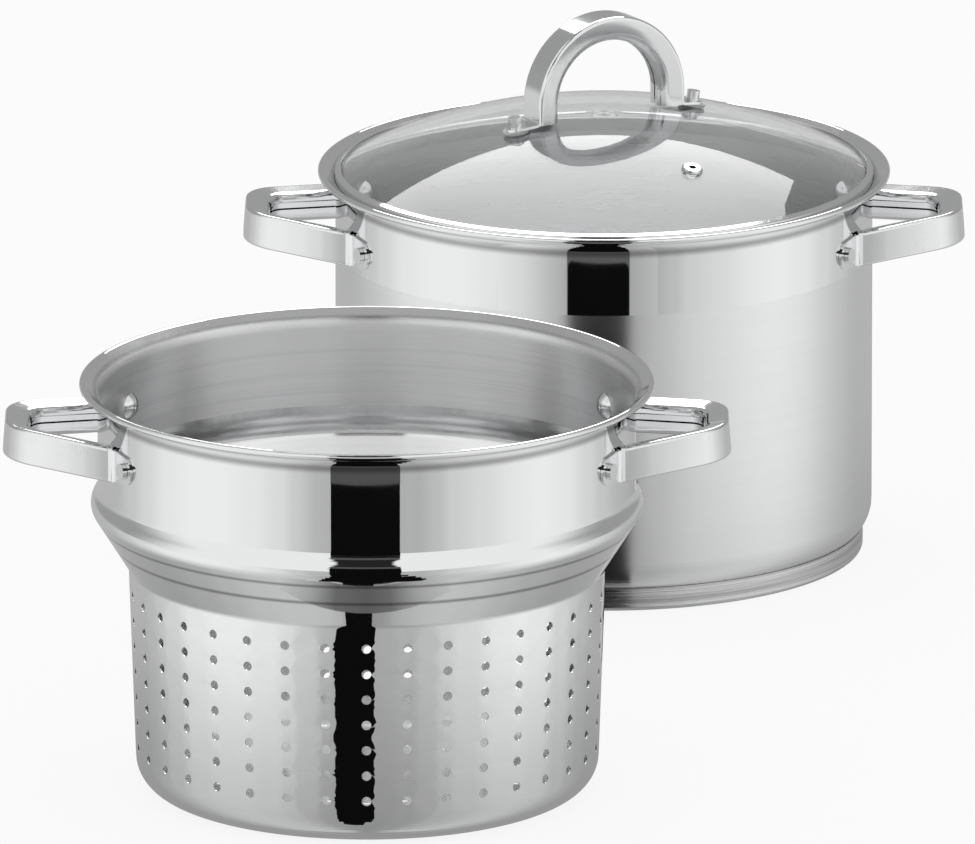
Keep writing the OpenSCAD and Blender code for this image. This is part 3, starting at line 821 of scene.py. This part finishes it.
# %% [markdown]
# ## Floor
# The floor is pale paper. The camera sees it mostly as white, with only a seventh of its real
# shading, so a faint shadow stays under the vessels. Reflections don't see it: they fade into
# the room's own grey instead, so no edge of a table shows in the steel.

# %% Floor
FLOOR_HALF = 6.0
FLOOR_DROP = 0.1 * MM
PAPER = 0.9
WHITE_SHARE = 0.86


def flat_sheet(name, points):
    """A flat sheet of the studio, with a material of its own, and that material's tree."""
    mesh = bpy.data.meshes.new(name)
    mesh.from_pydata(points, [], [tuple(range(len(points)))])
    sheet = bpy.data.objects.new(name, mesh)
    bpy.context.scene.collection.objects.link(sheet)
    material = bpy.data.materials.new(name)
    mesh.materials.append(material)
    return sheet, bare_tree(material)


def square(half, z):
    return [(-half, -half, z), (half, -half, z), (half, half, z), (-half, half, z)]


def glow(tree, colour):
    return tree.add("ShaderNodeEmission", Color=colour, Strength=1.0)


def close_sheet(tree, shader, share=None, under=None):
    """Ends a sheet's tree in its shader, or in a share of it over the one under it."""
    if share is not None:
        mixed = tree.nodes.new("ShaderNodeMixShader")
        for socket, value in zip(mixed.inputs, (share, under, shader)):
            tree.put(socket, value)
        shader = mixed.outputs[0]
    close_tree(tree, "ShaderNodeOutputMaterial", shader)


def make_floor():
    floor, tree = flat_sheet("floor", square(FLOOR_HALF, -FLOOR_DROP))
    rays = tree.nodes.new("ShaderNodeLightPath").outputs
    seen = tree.math("MAXIMUM", rays["Is Camera Ray"], rays["Is Transmission Ray"])
    close_sheet(tree, glow(tree, grey(WHITE)), tree.math("MULTIPLY", seen, WHITE_SHARE),
                tree.add("ShaderNodeBsdfDiffuse", Color=grey(PAPER)))
    floor.visible_glossy = False
    return floor


print("floor", make_floor().name)

# %% [markdown]
# ## Floor veil
# Steel that looks down sees less light than the room gives, because the vessel shades the floor
# near it. A half clear dark sheet just under the floor, densest near each vessel, stands for
# that shade. Only reflections see it.

# %% Floor veil
VEIL_HALF = 1.2
VEIL_DROP = 2 * MM
VEIL_START, VEIL_END = 0.08, 0.40
VEIL_LEVEL = 0.18
POT_VEIL = 0.36
INSERT_VEIL = 0.5


def for_reflections_only(sheet):
    sheet.visible_camera = sheet.visible_diffuse = sheet.visible_transmission = False
    sheet.visible_shadow = False
    return sheet


def make_floor_veil():
    veil, tree = flat_sheet("floor_veil", square(VEIL_HALF, -VEIL_DROP))
    x, y = tree.object_xyz()[:2]
    shades = []
    for axis, depth in ((pot_axis, POT_VEIL), (insert_axis, INSERT_VEIL)):
        away = hypot(tree, tree.math("SUBTRACT", x, axis.x), tree.math("SUBTRACT", y, axis.y))
        shades.append(tree.step(away, VEIL_END, VEIL_START, 0.0, depth))
    close_sheet(tree, glow(tree, grey(VEIL_LEVEL)), tree.math("MAXIMUM", *shades),
                tree.add("ShaderNodeBsdfTransparent"))
    return for_reflections_only(veil)


print("veil", make_floor_veil().name)

# %% [markdown]
# ## How a card is made
# A photographer of shiny things works with cards: flat sheets just outside the picture that the
# steel mirrors. A card here glows in one grey, or in greys that change along x. Each is drawn as
# an outline in millimetres from its vessel's axis and stands upright or lies level. Only
# reflections see it, and it casts no shadow.

# %% Helpers for cards
BLACK = 0.004


def upright(axis_x, y, outline):
    return [(axis_x + x * MM, y, z * MM) for x, z in outline]


def lying(axis_x, front, height, outline):
    return [(axis_x + x * MM, front + y * MM, height) for x, y in outline]


def block(left, right, start, end):
    return ((left, start), (right, start), (right, end), (left, end))


def greys_along_x(tree, axis_x, stops):
    """stops holds (millimetres from the axis, grey), lowest first."""
    low, high = stops[0][0], stops[-1][0]
    share = tree.nodes.new("ShaderNodeMapRange")
    x = tree.object_xyz()[0]
    ends = (axis_x + low * MM, axis_x + high * MM)
    for socket, value in zip(share.inputs, (x, *ends, 0.0, 1.0)):
        tree.put(socket, value)
    return grey_ramp(tree, share.outputs[0],
                     [((x - low) / (high - low), shade) for x, shade in stops])


def make_card(name, points, shade, axis_x=0.0, again=None):
    """shade is one grey or stops along x. again is the grey that a second bounce sees."""
    card, tree = flat_sheet(name, points)
    colour = grey(shade) if isinstance(shade, float) else greys_along_x(tree, axis_x, shade)
    if again is not None:
        depth = tree.nodes.new("ShaderNodeLightPath").outputs["Glossy Depth"]
        colour = tree.mix(tree.math("GREATER_THAN", depth, 1.5), colour, grey(again))
    close_sheet(tree, glow(tree, colour))
    print("card", for_reflections_only(card).name)


print("card helpers ready")

# %% [markdown]
# ## Cards of the pot
# A tall card stands between the vessels, so that neither shows in the other. Its black middle
# gives the pot its one dark streak, with a slightly lighter head, and its greys carry the shading
# of the wall on to both sides. A black card on the floor lengthens the streak down the satin.

# %% Cards of the pot
BETWEEN = 76
between = pot_front - BETWEEN * MM
CARD_LEFT, CARD_RIGHT, CARD_TOP = -145, 60, 190
DARK_LEFT, DARK_RIGHT = -40.5, 26.5
make_card("between_card",
          upright(pot_axis.x, between, block(CARD_LEFT, CARD_RIGHT, 0, CARD_TOP)),
          ((CARD_LEFT, 0.90), (-100, 0.79), (-82, 0.70), (-62, 0.58), (-47, 0.50),
           (DARK_LEFT - 1, 0.46), (DARK_LEFT, BLACK), (DARK_RIGHT, BLACK),
           (DARK_RIGHT + 1, 0.44), (34, 0.46), (50, 0.53), (CARD_RIGHT, 0.58)),
          axis_x=pot_axis.x)
make_card("between_card_head",
          upright(pot_axis.x, between + 1 * MM, (
              (DARK_LEFT, 135), (DARK_LEFT + 1, 138.5), (DARK_LEFT + 4.5, 140),
              (DARK_RIGHT - 4.5, 140), (DARK_RIGHT - 1, 138.5), (DARK_RIGHT, 135),
              (DARK_RIGHT, CARD_TOP), (DARK_LEFT, CARD_TOP))), 0.12)
make_card("pot_floor_card",
          lying(pot_axis.x, pot_front, 0, (
              (-20, 9), (13, 9), (27, -BETWEEN), (-41, -BETWEEN))), BLACK)

# %% [markdown]
# ## Cards of the insert
# The insert's streak follows its shape: broad on the collar, broader under the bulge and narrow
# on the sieve. One upright card with a step gives the collar and the sieve, a level one the
# underside of the bulge, and one on the floor the lowest holes. A soft grey card keeps the
# shoulder from going black, and a light one over the mouth brightens the folds inside.

# %% Cards of the insert
NEAR = 52
near = insert_front - NEAR * MM
COLLAR_LEFT, COLLAR_RIGHT = -32, 30
make_card("insert_card",
          upright(insert_axis.x, near, (
              (COLLAR_LEFT, 0), (10, 0), (10, 78), (12, 96), (COLLAR_RIGHT, 97),
              (COLLAR_RIGHT, 154), (COLLAR_RIGHT - 2, 159), (COLLAR_RIGHT - 8, 161),
              (COLLAR_LEFT + 8, 161), (COLLAR_LEFT + 2, 159), (COLLAR_LEFT, 154))), BLACK)
make_card("insert_card_head",
          upright(insert_axis.x, near + 1 * MM, block(COLLAR_LEFT, COLLAR_RIGHT, 152, 173)),
          0.09)
make_card("shoulder_card",
          lying(insert_axis.x, insert_front, 99 * MM, block(-46, 44, 3, 15)),
          ((-46, 0.60), (-30, 0.42), (-16, 0.16), (0, 0.12), (12, 0.16), (28, 0.42), (44, 0.58)),
          axis_x=insert_axis.x)
make_card("mouth_card",
          lying(insert_axis.x, insert_axis.y, insert_top + 60 * MM, block(-45, 45, -60, 60)),
          0.8)
make_card("insert_brim_card",
          lying(insert_axis.x, insert_front, 97 * MM, block(-27, 36, 2, -NEAR)), BLACK)
make_card("insert_floor_card",
          lying(insert_axis.x, insert_front, 0, (
              (-12, 17), (-2, 17), (4, 8), (10, -NEAR), (-32, -NEAR), (-18, 8))), BLACK)

# %% [markdown]
# ## Panel over the lid
# Glass gives back only a twenty-fifth of what it mirrors, so the pale shape on the lid needs a
# panel several times as bright as paper. Its outline is the outline of that shape, thrown up
# from the dome. In the steel inside the vessels it would glare, so a second bounce sees it dim.

# %% Panel over the lid
PANEL_RISE = 1.0
PANEL_LEVEL = 4.6
make_card("overhead_panel",
          lying(pot_axis.x, pot_axis.y, pot_top + PANEL_RISE, (
              (-240, 300), (240, 300), (380, 500), (520, 780), (590, 1460), (200, 1680),
              (-220, 1680), (-700, 1230), (-550, 800), (-380, 500))), PANEL_LEVEL, again=0.4)

# %% [markdown]
# ## Close
# The colours are shown through Blender's Standard view transform.

# %% Close
bpy.context.scene.view_settings.view_transform = "Standard"
